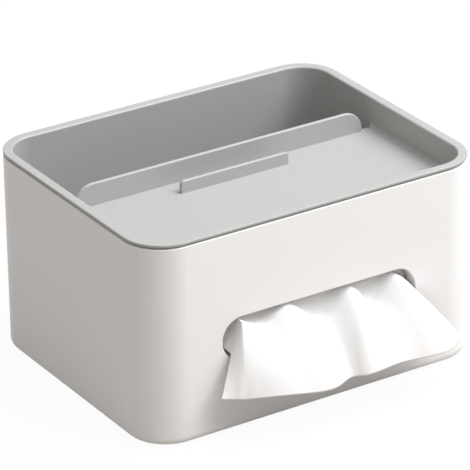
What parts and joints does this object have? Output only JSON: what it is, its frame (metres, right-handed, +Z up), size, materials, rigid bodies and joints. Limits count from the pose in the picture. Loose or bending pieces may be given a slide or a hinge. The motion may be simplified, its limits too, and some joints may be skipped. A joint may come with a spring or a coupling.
{
  "type": "tissue box holder",
  "caption": "Rounded white box with an oval front slot that dispenses tissues, and a grey drop-in desk tray with a low phone stop, an upright divider and a deep rear bin.",
  "frame": {"origin": "middle of the box's footprint, on the table that the pads stand on", "axes": "+X to the right along the front wall, +Y from the front slot to the rear bin, +Z up"},
  "size_m": [0.2, 0.1839, 0.1114],
  "materials": {
    "white_plastic": "satin",
    "grey_plastic": "satin",
    "pad_rubber": "matte",
    "refill_film": "gloss",
    "folded_tissue": "matte",
    "tissue_sheet": "matte"
  },
  "bodies": {
    "box": {"outer_shell": "white_plastic", "foot_front_left": "pad_rubber", "foot_front_right": "pad_rubber", "foot_rear_left": "pad_rubber", "foot_rear_right": "pad_rubber", "tissue_wrap": "refill_film", "tissue_stack": "folded_tissue"},
    "tray": {"top_tray": "grey_plastic"},
    "tissue": {"pulled_tissue": "tissue_sheet"}
  },
  "joints": [
    {"name": "tray_lift", "type": "slide", "parent": "box", "child": "tray", "axis": [0, 0, 1], "range_m": [0, 0.12]},
    {"name": "tissue_pull", "type": "slide", "parent": "box", "child": "tissue", "axis": [0, -1, 0], "range_m": [0, 0.04]}
  ]
}
